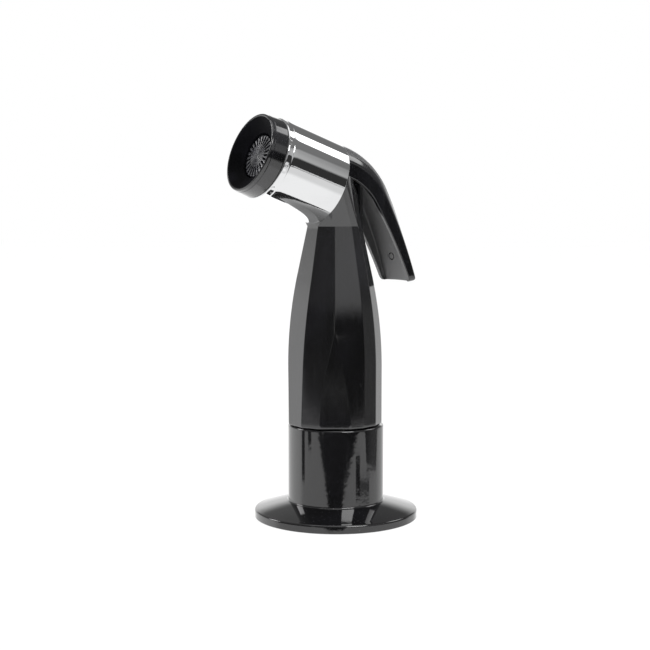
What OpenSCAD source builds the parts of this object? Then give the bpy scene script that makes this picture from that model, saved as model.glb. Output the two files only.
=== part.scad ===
// Hand spray with a squeeze lever, standing in its deck hose guide.
// Millimetres. The origin is the centre of the flange's underside, where it
// meets the deck. +Z is up, the spray face looks towards -Y and the lever
// lies on the +Y side. The plane x = 0 is the plane of symmetry.

/* [Deck hose guide] */
// Outside diameter of the cup
cup_d = 31.8; // [29:0.1:36]
// Height of the cup's rim above the deck
cup_h = 31; // [26:0.5:40]
// Wall of the cup
cup_wall = 1.5; // [1:0.1:2]
// Outside diameter of the flange
flange_d = 54.2; // [48:0.1:64]
// Thickness of the flange at its edge
flange_edge = 2.4; // [2:0.1:3.5]
// Height of the flange where it meets the cup
flange_h = 5.6; // [4.6:0.1:8]
// Outside diameter of the threaded shank
shank_d = 28; // [27.4:0.1:30]
// Length of the shank below the deck
shank_l = 42; // [32:1:60]
// Pitch of the shank's thread
thread_pitch = 2.8; // [2:0.1:3.2]
// Height of the shank's thread
thread_h = 0.8; // [0.5:0.05:0.9]
// Bore that the hose runs through
hose_bore_d = 23.2; // [20:0.1:23.6]
// Thickness of the deck that the nut clamps
deck_t = 12; // [4:0.5:16]
// Width across the flats of the mounting nut
nut_af = 38; // [35:1:44]
// Height of the mounting nut
nut_h = 8; // [5:0.5:10]
// Thickness of the washer above the nut
washer_t = 1.2; // [0.8:0.1:2]
// Thickness of the gasket under the flange
gasket_t = 1.5; // [1:0.1:1.8]

/* [Handle] */
// Radius of the grip at its foot, over its corners
grip_r = 15.8; // [14.8:0.1:16.5]
// Distance that the grip's centre stands in front of the tail's axis
grip_forward = 0.6; // [0:0.1:1]
// Length of the grip above the cup
grip_l = 65.2; // [62.7:0.1:65.7]
// Length of the upright part of the grip above the cup
grip_upright_l = 18.7; // [12.7:0.5:22.7]
// Radius of the curve that leads into the taper
grip_curve_r = 140; // [125:1:200]
// Length of the grip up to where its sides reach their full slope
grip_slope_l = 48.7; // [42.7:0.5:50.7]
// Length of the facet between the two edges that each side edge splits into
vee_l = 31.2; // [22.7:0.5:38.7]
// Half of the angle between the two edges at the foot
vee_spread = 18.5; // [8:0.5:22]
// Length of the tail that stands in the cup
tail_l = 21; // [16:0.5:22]

/* [Spray head] */
// Height of the head's axis above the grip's top, on the tail's axis
head_rise = 12.1; // [11.8:0.1:13.6]
// Upward tilt of the spray direction
head_tilt = 19.4; // [14:0.1:24]
// Outside diameter of the chrome sleeve
sleeve_d = 27.54; // [26.4:0.02:30]
// Wall of the chrome sleeve
sleeve_wall = 0.8; // [0.6:0.1:1.1]
// Distance from the tail's axis to the sleeve's rear edge
sleeve_s0 = 5.1; // [4.6:0.1:6]
// Length of the chrome sleeve
sleeve_l = 23.7; // [20:0.1:28]
// Length of the nozzle ring in front of the sleeve
nozzle_l = 5.7; // [5:0.1:9]
// Taper of the nozzle ring's outside
nozzle_taper = 4.5; // [1:0.1:8]
// Radius of the spray disc
disc_r = 7; // [5.5:0.1:8]
// Depth of the spray disc's face behind the nozzle's rim
disc_depth = 3.4; // [2.5:0.1:4]
// Number of spray slots round the disc
slot_n = 24; // [12:1:30]
// Width of one spray slot
slot_w = 0.7; // [0.4:0.1:0.9]

/* [Lever] */
// Half width of the lever at the head
lever_w0 = 9.6; // [9.2:0.1:10.2]
// Half width of the lever at its foot
lever_w1 = 8.9; // [8.4:0.1:10.2]
// Arch of the lever's back at the head
lever_arch0 = 5.7; // [4.6:0.1:6.5]
// Arch of the lever's back at its foot
lever_arch1 = 0.8; // [0.4:0.1:2]
// Depth of the lever's side walls at the head
lever_side0 = 4.9; // [4.4:0.1:6]
// Depth of the lever's side walls at its foot
lever_side1 = 2.6; // [2:0.1:4]
// Straight length of the lever behind the sleeve
lever_straight = 2.4; // [0.5:0.1:4]
// Radius of the bend over the head
lever_bend_r = 26.6; // [24:0.1:30]
// Angle of the bend over the head
lever_bend_a = 44.4; // [38:0.1:48]
// Radius of the long curve down to the foot
lever_tail_r = 98; // [80:1:160]
// Length of the long curve down to the foot
lever_tail_l = 31.5; // [20:0.5:34]
// Thickness of the lever's back
lever_t = 1.8; // [1.4:0.1:2.2]
// Thickness of the lever's side walls
lever_side_t = 1.6; // [1.2:0.1:2]
// Angle of a full squeeze
lever_swing = 14; // [6:0.5:14]
// Distance of the pivot behind the tail's axis
pivot_y = 0.3; // [-0.2:0.1:0.8]
// Height of the pivot above the head's axis
pivot_rise = 6.6; // [6:0.1:7.2]
// Diameter of the pivot pin
pin_d = 2; // [1.5:0.1:2.2]

/* [Valve] */
// Distance of the valve's axis behind the tail's axis
valve_y = 5.2; // [4.8:0.1:5.6]
// Radius of the valve chamber
valve_r = 3.2; // [2.9:0.1:3.4]
// Wall of the boss round the valve chamber
valve_wall = 1.3; // [1:0.1:1.6]
// Depth of the valve chamber below the top of its boss
chamber_l = 14.5; // [14:0.1:16]
// Depth of the seat's sealing face below the top of the boss
seat_l = 7; // [6.6:0.1:7.6]
// Radius of the hole through the seat
seat_hole_r = 2; // [1.6:0.1:2.1]
// Height of the boss's top above the head's axis
boss_rise = 2.4; // [1.8:0.1:2.8]
// Diameter of the valve stem
stem_d = 2.5; // [2:0.1:2.8]
// Diameter of the spring's wire
wire_d = 0.5; // [0.4:0.05:0.6]
// Turns of the spring
spring_turns = 5; // [3:1:6]
// Radius of the water way up the handle
water_r = 3; // [2.5:0.1:3.2]

/* [Hose connection] */
// Radius of the threaded part of the coupling
coupling_r = 9.1; // [8.6:0.1:10]
// Length of the threaded part of the coupling
coupling_l = 15.3; // [12:0.1:17]
// Width across the flats of the coupling's flange
coupling_af = 21; // [20:0.5:24]
// Thickness of the coupling's flange
coupling_flange_t = 2.2; // [1.6:0.1:3]
// Radius of the neck that the hose end passes
neck_r = 6.3; // [5.5:0.1:6.8]
// Length of that neck
neck_l = 3; // [2:0.1:4]
// Radius of the coupling's chamber
chamber_r = 8; // [7.6:0.1:8.2]

/* [Clearances] */
// Gap between parts that move past each other
gap = 0.3; // [0.2:0.05:0.4]
// Gap between a part and its seat
seat_gap = 0.1; // [0.05:0.01:0.15]
// Radial clearance of a turning or sliding fit
fit_gap = 0.05; // [0.03:0.01:0.08]

/* [Hidden] */
$fn = 64;
eps = 0.01;
// Reach of the boxes that clear the room of a moving part.
reach = 20;

chrome_col = [0.78, 0.79, 0.8];
black_col = [0.07, 0.07, 0.08];
brass_col = [0.76, 0.62, 0.32];
rubber_col = [0.16, 0.16, 0.17];
steel_col = [0.62, 0.63, 0.65];
nylon_col = [0.82, 0.82, 0.78];

cup_r = cup_d / 2;
cup_in_r = cup_r - cup_wall;
flange_r = flange_d / 2;
shank_r = shank_d / 2;
core_r = shank_r - thread_h;
core_chamfer = 0.5;
shoulder_l = 1.2;
thread_z0 = -shank_l + core_chamfer + 0.9;
thread_z1 = -shoulder_l - 1;
hose_bore_r = hose_bore_d / 2;
cup_floor_z = flange_h + 0.6;
rim_round = cup_wall * 0.4;
groove_r0 = shank_r + 3;
groove_r1 = flange_r - 2.2;
nut_z = -deck_t - washer_t;

tail_top_z = cup_h + gap;
tail_z = tail_top_z - tail_l;
tail_r = cup_in_r - gap;
tail_chamfer = 1;
foot_chamfer = 0.6;
grip_top_z = tail_top_z + grip_l;
grip_taper_z = tail_top_z + grip_upright_l;
grip_slope_z = tail_top_z + grip_slope_l;
vee_z = tail_top_z + vee_l;
front_half_foot = 14;
front_half_top = 21.5;
vee_mid = 58;
side_corners = [95, 116, 140, 165];

head_z = grip_top_z + head_rise;
sleeve_r = sleeve_d / 2;
sleeve_s1 = sleeve_s0 + sleeve_l;
collar_r = sleeve_r - sleeve_wall - seat_gap;
collar_flange_r = sleeve_r - 0.45;
collar_flange_t = 0.5;
collar_s1 = sleeve_s1 - 2.8;
cavity_r = collar_r - 2.7;
cavity_s = 15.5;
throat_r = cavity_r - 1.8;
throat_s = 8;

nozzle_s0 = sleeve_s1 + seat_gap;
nozzle_s1 = sleeve_s1 + nozzle_l;
nozzle_r1 = sleeve_r - 0.47 - nozzle_l * tan(nozzle_taper);
nozzle_lip = 0.45;
disc_s = nozzle_s1 - disc_depth;
disc_t = 1.6;
disc_gap = 0.45;
disc_ledge = 1;
neck_ring_r = cavity_r - seat_gap;
neck_ring_wall = 1.6;
nozzle_gasket_t = 1.4;
neck_s0 = cavity_s + nozzle_gasket_t;
plate_t = 1.4;

pivot_z = head_z + pivot_rise;
pivot_s = pivot_rise * sin(head_tilt) - pivot_y * cos(head_tilt);
pivot_n = pivot_rise * cos(head_tilt) + pivot_y * sin(head_tilt);
lever_in0 = lever_w0 - lever_side_t;
lug_half = lever_in0 - gap;
pin_r = pin_d / 2;
pin_half = lever_in0 + lever_side_t * 0.6;
lever_s = sleeve_s0 - collar_flange_t - gap;
bend_l = lever_bend_r * lever_bend_a * PI / 180;
lever_l = lever_straight + bend_l + lever_tail_l;
lever_steps = 18;
arch_steps = 10;
lever_end_round = 0.7;
nub_r = 1.8;

boss_top_z = head_z + boss_rise;
seat_z = boss_top_z - seat_l;
valve_floor_z = boss_top_z - chamber_l;
seat_t = 1.6;
bonnet_t = 2.5;
bonnet_head_t = 1.4;
bonnet_head_r = valve_r + 0.3;
bonnet_top_z = boss_top_z + bonnet_head_t;
stem_r = stem_d / 2;
stem_top_z = bonnet_top_z + 2.2;
valve_washer_t = 1.4;
valve_washer_r = valve_r - 0.4;
valve_washer_z = seat_z - fit_gap - valve_washer_t;
cup_base_t = 0.8;
washer_cup_z = valve_washer_z - cup_base_t;
spring_r = valve_r - 0.35 - wire_d;
outlet_z = seat_z + seat_t + 1.4;
outlet_r = 1.4;
water_top_z = seat_z - 3;

socket_r = coupling_r + seat_gap;
coupling_z = tail_z - seat_gap - coupling_flange_t;
coupling_top_z = tail_z + coupling_l;
screen_t = 0.7;
socket_top_z = coupling_top_z + screen_t + 2 * seat_gap;
chamber_z = coupling_z + neck_l;
ring_t = 1;
ring_catch = 0.8;
hose_washer_t = 2.2;
o_ring_w = 0.84;

// ---- shared geometry ----

// Places its children on the head's axis: local Z is the spray direction,
// local Y is up across the head.
module on_head_axis() {
    translate([0, 0, head_z]) rotate([90 - head_tilt, 0, 0]) children();
}

// Extrudes a side view, drawn as [y, z], to both sides of x = 0.
module side_plate(half_w) {
    rotate([90, 0, 90]) linear_extrude(2 * half_w, center = true) children();
}

module ring(r0, r1, z, h) {
    translate([0, 0, z]) difference() {
        cylinder(r = r1, h = h);
        translate([0, 0, -1]) cylinder(r = r0, h = h + 2);
    }
}

module o_ring(r, section_d, z) {
    translate([0, 0, z]) rotate_extrude() translate([r, 0]) circle(d = section_d, $fn = 20);
}

// Sweeps a closed outline of [radius, height] points, listed anticlockwise,
// round the Z axis while it climbs.
module coil(outline, turns, pitch, steps) {
    n = len(outline);
    count = round(turns * steps);
    points = [for (i = [0:count], p = outline) let (a = i * 360 / steps)
        [p[0] * cos(a), p[0] * sin(a), p[1] + pitch * i / steps]];
    faces = concat(
        [[for (k = [n - 1:-1:0]) k]],
        [[for (k = [0:n - 1]) count * n + k]],
        [for (i = [0:count - 1], k = [0:n - 1]) let (k2 = (k + 1) % n)
            [i * n + k, i * n + k2, (i + 1) * n + k2, (i + 1) * n + k]]);
    polyhedron(points = points, faces = faces, convexity = 10);
}

function arc(c, r, a0, a1, n = 6) = [for (i = [0:n]) c + r * [cos(a0 + (a1 - a0) * i / n),
                                                              sin(a0 + (a1 - a0) * i / n)]];

// ---- deck hose guide ----

// Domed top of the flange, from its rounded edge in to the cup.
flange_edge_r = flange_edge / 2 - 0.1;
dome_run = flange_r - flange_edge_r - cup_r;
dome_rise = flange_h - flange_edge;
function dome(t) = [cup_r + dome_run * t, flange_h - dome_rise * (0.7 * t + 0.3 * t * t)];

// Cup, flange and the core of the shank in one turned outline.
module guide_casting() {
    rotate_extrude($fn = 96)
        polygon(concat(
            [[hose_bore_r, -shank_l], [core_r - core_chamfer, -shank_l], [core_r, -shank_l + core_chamfer],
             [core_r, -shoulder_l], [shank_r, 0]],
            [[groove_r0, 0], [groove_r0, gasket_t], [groove_r1, gasket_t], [groove_r1, 0]],
            arc([flange_r - flange_edge_r, flange_edge_r], flange_edge_r, -90, 0),
            arc([flange_r - flange_edge_r, flange_edge - flange_edge_r], flange_edge_r, 0, 90),
            [for (i = [1:6]) dome(1 - i / 7)],
            arc([cup_r + 0.7, flange_h + 0.7], 0.7, 270, 180, 4),
            arc([cup_r - rim_round, cup_h - rim_round], rim_round, 0, 90),
            arc([cup_in_r + rim_round, cup_h - rim_round], rim_round, 90, 180),
            [[cup_in_r, cup_floor_z + 1], [cup_in_r - 1, cup_floor_z], [hose_bore_r, cup_floor_z]]));
}

// Thread ridge round the shank, with its foot sunk into the core.
module shank_thread() {
    foot_r = core_r - 0.3;
    ridge = [[foot_r, 0], [shank_r, 0.3], [shank_r, 0.5], [foot_r, 0.8]];
    coil([for (p = ridge) [p[0], thread_z0 + p[1] * thread_pitch]],
         (thread_z1 - thread_z0) / thread_pitch - 0.8, thread_pitch, 24);
}

module hose_guide() {
    color(black_col) union() {
        guide_casting();
        shank_thread();
    }
}

module deck_gasket() {
    color(rubber_col) ring(groove_r0 + gap, groove_r1 - gap, 0, gasket_t);
}

module friction_washer() {
    color(nylon_col) ring(shank_r + seat_gap, nut_af / 2, nut_z, washer_t);
}

module mounting_nut() {
    color(black_col) translate([0, 0, nut_z - nut_h]) difference() {
        intersection() {
            cylinder(d = nut_af / cos(30), h = nut_h, $fn = 6);
            rotate_extrude() polygon([[0, 0], [nut_af / 2 - 0.3, 0], [nut_af / 2 / cos(30), 1.6],
                                      [nut_af / 2 / cos(30), nut_h], [0, nut_h]]);
        }
        translate([0, 0, -1]) cylinder(r = shank_r + seat_gap, h = nut_h + 2);
    }
}

// ---- hose connection ----

module hose_coupling() {
    color(brass_col) difference() {
        union() {
            translate([0, 0, coupling_z])
                cylinder(d = coupling_af / cos(30), h = coupling_flange_t, $fn = 6);
            translate([0, 0, coupling_z]) cylinder(r = coupling_r, h = coupling_top_z - coupling_z);
        }
        translate([0, 0, coupling_z - 1]) cylinder(r = neck_r, h = neck_l + 2);
        translate([0, 0, chamber_z]) cylinder(r = chamber_r, h = coupling_l + 2);
        ring(coupling_r - o_ring_w - fit_gap, coupling_r + 1, coupling_top_z - 4, o_ring_w + 0.4);
    }
}

module coupling_o_ring() {
    color(rubber_col) o_ring(coupling_r - o_ring_w / 2, o_ring_w, coupling_top_z - 4 + o_ring_w / 2 + 0.2);
}

// Open spring ring that sits in the groove of the hose's end fitting and rests
// on the neck, so that the fitting can't pull out.
module snap_ring() {
    color(steel_col) difference() {
        ring(neck_r - ring_catch, chamber_r - 2 * fit_gap, chamber_z + seat_gap, ring_t);
        rotate([0, 0, 20]) translate([0, -2, chamber_z]) cube([chamber_r + 1, 4, ring_t + 1]);
    }
}

module hose_washer() {
    color(rubber_col)
        ring(water_r + 0.2, chamber_r - 2 * seat_gap, coupling_top_z - hose_washer_t - 2 * seat_gap,
             hose_washer_t);
}

module inlet_screen() {
    hole_r = 0.4;
    color(steel_col) difference() {
        translate([0, 0, coupling_top_z + seat_gap]) cylinder(r = socket_r - seat_gap, h = screen_t);
        for (row = [0:2], i = [0:max(0, 6 * row - 1)])
            rotate([0, 0, i * 60 / max(1, row)]) translate([row * 1.1, 0, coupling_top_z])
                cylinder(r = hole_r, h = screen_t + 1, $fn = 16);
    }
}

// ---- handle ----

// Radius over the grip's corners: upright at the foot, then a long curve
// into a straight taper.
function grip_slope() = (grip_slope_z - grip_taper_z) / grip_curve_r;
function grip_radius(z) =
    z < grip_taper_z ? grip_r :
    z < grip_slope_z ? grip_r - pow(z - grip_taper_z, 2) / (2 * grip_curve_r) :
    grip_radius(grip_slope_z - eps) - grip_slope() * (z - grip_slope_z);

// Angle between the two edges that each side edge splits into below vee_z.
function vee(z) = z > vee_z ? 0 : vee_spread * sin(90 * (vee_z - z) / (vee_z - tail_top_z));
function front_half(z) = front_half_foot
    + (front_half_top - front_half_foot) * min(1, (z - tail_top_z) / (grip_slope_z - tail_top_z));
function corners(z) = concat([front_half(z), vee_mid - vee(z), vee_mid + vee(z)], side_corners);

// One level of the grip: a flat face in front, faceted sides, rounder back.
module grip_level(z, inset = 0) {
    r = grip_radius(z) - inset;
    right = [for (a = corners(z)) r * [sin(a), -cos(a)]];
    left = [for (i = [len(right) - 1:-1:0]) [-right[i][0], right[i][1]]];
    translate([0, -grip_forward, z]) linear_extrude(eps) polygon(concat(right, left));
}

module grip() {
    foot_z = tail_top_z + foot_chamfer;
    hull() {
        grip_level(tail_top_z, foot_chamfer);
        for (i = [0:7]) grip_level(foot_z + (vee_z - foot_z) * i / 8);
        for (i = [0:6]) grip_level(vee_z + (grip_slope_z - vee_z) * i / 6);
        grip_level(grip_top_z - eps);
    }
}

// Saddle between the grip's top and the round collar under the sleeve.
module saddle() {
    hull() {
        grip_level(grip_top_z - eps);
        on_head_axis() translate([0, 0, sleeve_s0 - collar_flange_t])
            cylinder(r = collar_flange_r, h = collar_flange_t);
    }
}

module tail() {
    translate([0, 0, tail_z]) rotate_extrude() polygon([[0, 0], [tail_r - tail_chamfer, 0],
        [tail_r, tail_chamfer], [tail_r, tail_l + eps], [0, tail_l + eps]]);
}

// Point [y, z] s mm along the head's axis and n mm across it.
function head_point(s, n) = [-s * cos(head_tilt) + n * sin(head_tilt),
                             head_z + s * sin(head_tilt) + n * cos(head_tilt)];

// Room for the lever's side walls beside the lug, through the whole squeeze.
module side_room() {
    for (side = [-1, 1]) translate([side * (lug_half + reach / 2), 0, 0]) side_plate(reach / 2)
        polygon([[pivot_y - 12, pivot_z - 2.6], [pivot_y - 3.4, pivot_z - 2.6],
                 [pivot_y + 3.6, pivot_z - 8.6], [pivot_y + 12, pivot_z - 17],
                 [pivot_y + 12, pivot_z + 12], [pivot_y - 12, pivot_z + 12]]);
}

// Room for the lever's back over the lug: level with the head's axis in
// front of the pivot, and falling by the squeeze behind it.
module crown_room() {
    lug_n = sleeve_r - arch_fall(lug_half, lever_w0, lever_arch0) - lever_t - 2 * gap;
    fall = head_tilt + lever_swing + 1;
    knee = head_point(pivot_s, lug_n);
    side_plate(reach) polygon([head_point(sleeve_s0, lug_n), knee,
        knee + reach * [1, -tan(fall)], knee + reach * [1, 1], head_point(sleeve_s0, lug_n + reach)]);
}

// Everything behind the collar, where the lever may lie.
module behind_collar() {
    on_head_axis() translate([-reach, -reach, sleeve_s0 - collar_flange_t - 2 * reach])
        cube(reach * [2, 3, 2]);
}

module handle_body() {
    color(black_col) difference() {
        union() {
            grip();
            tail();
            saddle();
            on_head_axis() translate([0, 0, sleeve_s0 - eps])
                cylinder(r = collar_r, h = collar_s1 - sleeve_s0);
            translate([0, valve_y, grip_top_z - 4])
                cylinder(r = valve_r + valve_wall, h = boss_top_z - grip_top_z + 4);
        }
        intersection() {
            behind_collar();
            union() {
                side_room();
                crown_room();
            }
        }
        translate([0, valve_y, boss_top_z]) cylinder(r = bonnet_head_r + gap / 2, h = 20);
        translate([0, valve_y, valve_floor_z]) cylinder(r = valve_r, h = 20);
        translate([0, 0, tail_z + coupling_l]) cylinder(r = water_r, h = water_top_z - tail_z - coupling_l);
        translate([0, 0, tail_z - 1]) cylinder(r = socket_r, h = socket_top_z - tail_z + 1);
        translate([0, valve_y, outlet_z]) rotate([90 - head_tilt, 0, 0]) cylinder(r = outlet_r, h = 18);
        on_head_axis() {
            translate([0, 0, throat_s]) cylinder(r = throat_r, h = 20);
            translate([0, 0, cavity_s]) cylinder(r = cavity_r, h = 20);
        }
        translate([0, pivot_y, pivot_z]) rotate([0, 90, 0])
            cylinder(r = pin_r + fit_gap / 2, h = 2 * reach, center = true);
    }
}

module lever_pin() {
    color(steel_col) translate([0, pivot_y, pivot_z]) rotate([0, 90, 0])
        cylinder(r = pin_r, h = 2 * pin_half, center = true);
}

// ---- spray head ----

module chrome_sleeve() {
    in_r = sleeve_r - sleeve_wall;
    lip = sleeve_wall * 0.9;
    color(chrome_col) on_head_axis() rotate_extrude($fn = 96) polygon(concat(
        [[in_r, sleeve_s0], [sleeve_r - 0.2, sleeve_s0], [sleeve_r, sleeve_s0 + 0.2]],
        arc([sleeve_r - lip, sleeve_s1 - lip], lip, 0, 90),
        [[in_r, sleeve_s1]]));
}

// Ring with a funnel in its face, a ledge for the disc and a threaded neck.
module nozzle_ring() {
    base_r = nozzle_r1 + (nozzle_s1 - nozzle_s0) * tan(nozzle_taper);
    pocket_r = disc_r + disc_gap;
    ledge_s = disc_s - disc_t - seat_gap;
    neck_in = neck_ring_r - neck_ring_wall;
    step_s = ledge_s - 2;
    color(black_col) on_head_axis() rotate_extrude($fn = 96) polygon(concat(
        [[neck_in, neck_s0], [neck_ring_r, neck_s0], [neck_ring_r, nozzle_s0]],
        [[base_r - 0.15, nozzle_s0], [base_r, nozzle_s0 + 0.15]],
        arc([nozzle_r1 - nozzle_lip, nozzle_s1 - nozzle_lip], nozzle_lip, 0, 90, 4),
        [[nozzle_r1 - nozzle_lip - 0.25, nozzle_s1 - 0.15]],
        [[pocket_r + 0.25, disc_s + 0.4], [pocket_r, disc_s + 0.1], [pocket_r, ledge_s]],
        [[disc_r - disc_ledge, ledge_s], [disc_r - disc_ledge, step_s], [neck_in, step_s]]));
}

module nozzle_gasket() {
    color(rubber_col) on_head_axis()
        ring(neck_ring_r - 2.4, neck_ring_r - seat_gap, cavity_s, nozzle_gasket_t);
}

module flow_plate() {
    r = neck_ring_r - neck_ring_wall - seat_gap;
    s = disc_s - disc_t - seat_gap - 2 - plate_t - seat_gap;
    color(nylon_col) on_head_axis() difference() {
        translate([0, 0, s]) cylinder(r = r, h = plate_t);
        for (i = [0:9]) rotate([0, 0, i * 36]) translate([disc_r - disc_ledge - 1.4, 0, s - 1])
            cylinder(r = 0.6, h = plate_t + 2, $fn = 16);
    }
}

// Face plate whose edge is cut by radial spray slots, with a raised fan
// between them and a skirt that snaps into the ring.
module spray_disc() {
    skirt_r = disc_r - disc_ledge - fit_gap;
    back_s = disc_s - disc_t;
    color(black_col) on_head_axis() difference() {
        rotate_extrude() polygon([[0, back_s - 0.2], [skirt_r - 1.2, back_s - 0.2],
            [skirt_r - 1.2, back_s - 1.5], [skirt_r, back_s - 1.5], [skirt_r, back_s],
            [disc_r, back_s], [disc_r, disc_s - 0.3], [disc_r - 0.4, disc_s],
            [disc_r * 0.35, disc_s + 0.35], [0, disc_s + 0.35]]);
        for (i = [0:slot_n - 1]) rotate([0, 0, i * 360 / slot_n])
            translate([disc_r * 0.55, -slot_w / 2, disc_s - 0.5]) cube([disc_r, slot_w, 2]);
    }
}

// ---- lever ----

// Direction of the lever's back below the horizontal, l mm from its nose.
function lever_heading(l) = head_tilt + (
    l < lever_straight ? 0 :
    l < lever_straight + bend_l ? (l - lever_straight) / lever_bend_r * 180 / PI :
    lever_bend_a + (l - lever_straight - bend_l) / lever_tail_r * 180 / PI);

// Step along an arc of radius r from heading a0 to heading a1.
function arc_step(r, a0, a1) = r * [sin(a1) - sin(a0), cos(a1) - cos(a0)];

// Point [y, z] on the middle of the lever's back, l mm from its nose.
function lever_point(l) =
    l <= lever_straight ? lever_nose + l * [cos(head_tilt), -sin(head_tilt)] :
    l <= lever_straight + bend_l ?
        lever_point(lever_straight) + arc_step(lever_bend_r, head_tilt, lever_heading(l)) :
        lever_point(lever_straight + bend_l)
            + arc_step(lever_tail_r, head_tilt + lever_bend_a, lever_heading(l));
lever_nose = [-lever_s * cos(head_tilt) + sleeve_r * sin(head_tilt),
              head_z + lever_s * sin(head_tilt) + sleeve_r * cos(head_tilt)];

function lever_half(t) = lever_w0 + (lever_w1 - lever_w0) * t;
function lever_arch(t) = lever_arch0 + (lever_arch1 - lever_arch0) * pow(t, 2.17);
function lever_side(t) = lever_side0 + (lever_side1 - lever_side0) * t + 1.8 * t * (1 - t);
// Fall of the arched back, x mm from its middle.
function arch_fall(x, w, h) = let (r = (w * w + h * h) / (2 * h)) r - sqrt(r * r - x * x);

// Outline of the lever across its length, as [x, depth below the back].
function lever_section(t, inset = 0) = let (
    w = lever_half(t),
    h = lever_arch(t),
    d = lever_side(t),
    wo = w - inset,
    wi = w - lever_side_t + inset / 2)
    concat(
        [for (i = [0:arch_steps]) let (x = wo * (2 * i / arch_steps - 1)) [x, arch_fall(x, w, h) + inset]],
        [[wo, h + d - inset], [wi, h + d - inset]],
        [for (i = [0:arch_steps]) let (x = wi * (1 - 2 * i / arch_steps))
            [x, arch_fall(x, w, h) + lever_t - inset / 2]],
        [[-wi, h + d - inset], [-wo, h + d - inset]]);

function place(q, l) = let (a = lever_heading(l), p = lever_point(l))
    [q[0], p[0] - q[1] * sin(a), p[1] - q[1] * cos(a)];

// Channel lofted through its sections, with a softened foot.
module lever_shell() {
    stations = concat([for (i = [0:lever_steps]) [lever_l * i / lever_steps, i / lever_steps, 0]],
                      [[lever_l + lever_end_round, 1, lever_end_round * 0.7]]);
    rings = [for (s = stations) [for (q = lever_section(s[1], s[2])) place(q, s[0])]];
    n = len(rings[0]);
    last = len(rings) - 1;
    cap = concat(
        [for (k = [0:arch_steps - 1]) [k, k + 1, n - 4 - k, n - 3 - k]],
        [[arch_steps, arch_steps + 1, arch_steps + 2, arch_steps + 3]],
        [[0, n - 3, n - 2, n - 1]]);
    polyhedron(
        points = [for (r = rings, p = r) p],
        faces = concat(
            cap,
            [for (f = cap) [for (k = [3:-1:0]) last * n + f[k]]],
            [for (i = [0:last - 1], k = [0:n - 1]) let (k2 = (k + 1) % n)
                [i * n + k, (i + 1) * n + k, (i + 1) * n + k2, i * n + k2]]),
        convexity = 6);
}

// Room in front of the lever's nose at rest, and in front of the part below
// the pivot at the end of the squeeze.
module nose_room() {
    on_head_axis() translate([-reach, -reach, lever_s]) cube(reach * [2, 3, 1]);
    translate([0, pivot_y, pivot_z]) rotate([lever_swing, 0, 0]) translate([0, -pivot_y, -pivot_z])
        on_head_axis() translate([-reach, pivot_n - 2 * reach, lever_s]) cube(reach * [2, 2, 1]);
}

// Stud under the back that presses the stem: its round end stands over the
// valve's axis and its body points away from the bend's centre.
bend_centre = lever_point(lever_straight) - lever_bend_r * [sin(head_tilt), cos(head_tilt)];
nub_centre = [valve_y, stem_top_z + gap / 2 + nub_r];
module nub() {
    out = nub_centre - bend_centre;
    nub_l = lever_bend_r - norm(out) - lever_t / 2;
    translate([0, nub_centre[0], nub_centre[1]]) rotate([-atan2(out[0], out[1]), 0, 0])
        rotate_extrude() polygon(concat(arc([0, 0], nub_r, -90, 0), [[nub_r, nub_l], [0, nub_l]]));
}

module lever() {
    color(black_col) difference() {
        union() {
            lever_shell();
            nub();
        }
        nose_room();
        translate([0, pivot_y, pivot_z]) rotate([0, 90, 0])
            cylinder(r = pin_r + fit_gap, h = 2 * (pin_half + seat_gap), center = true);
    }
}

// ---- valve ----

module valve_seat() {
    color(brass_col) translate([0, valve_y, 0]) ring(seat_hole_r, valve_r - fit_gap / 2, seat_z, seat_t);
}

module bonnet_nut() {
    color(brass_col) translate([0, valve_y, 0]) difference() {
        union() {
            translate([0, 0, boss_top_z - bonnet_t]) cylinder(r = valve_r - fit_gap / 2, h = bonnet_t);
            translate([0, 0, boss_top_z]) cylinder(r = bonnet_head_r, h = bonnet_head_t);
        }
        translate([0, 0, boss_top_z - bonnet_t - 1]) cylinder(r = stem_r + fit_gap, h = 10);
        translate([0, 0, boss_top_z - 1.2]) cylinder(r = stem_r + o_ring_w + fit_gap, h = o_ring_w + 0.2);
        for (a = [0, 90]) rotate([0, 0, a])
            translate([-0.4, stem_r + 1, bonnet_top_z - 0.6]) cube([0.8, 10, 1]);
    }
}

module stem_o_ring() {
    color(rubber_col) translate([0, valve_y, 0])
        o_ring(stem_r + fit_gap + o_ring_w / 2, o_ring_w - 0.04, boss_top_z - 1.2 + 0.1 + o_ring_w / 2);
}

// Stem with a rounded top, and a thin end that carries the sealing washer.
module valve_stem() {
    dome_r = stem_r * 0.6;
    spigot_r = stem_r * 0.6;
    spigot_z = washer_cup_z - 0.4;
    color(brass_col) translate([0, valve_y, 0]) rotate_extrude($fn = 48) polygon(concat(
        [[0, spigot_z], [spigot_r, spigot_z], [spigot_r, seat_z - fit_gap], [stem_r, seat_z - fit_gap]],
        arc([stem_r - dome_r, stem_top_z - dome_r], dome_r, 0, 90),
        [[0, stem_top_z]]));
}

module valve_washer() {
    color(rubber_col) translate([0, valve_y, 0])
        ring(stem_r * 0.6, valve_washer_r - 0.3, valve_washer_z, valve_washer_t);
}

module washer_cup() {
    color(brass_col) translate([0, valve_y, 0]) difference() {
        translate([0, 0, washer_cup_z]) cylinder(r = valve_washer_r, h = cup_base_t + 0.6);
        translate([0, 0, valve_washer_z]) cylinder(r = valve_washer_r - 0.3, h = 2);
        translate([0, 0, washer_cup_z - 1]) cylinder(r = stem_r * 0.6, h = 5);
    }
}

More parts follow.
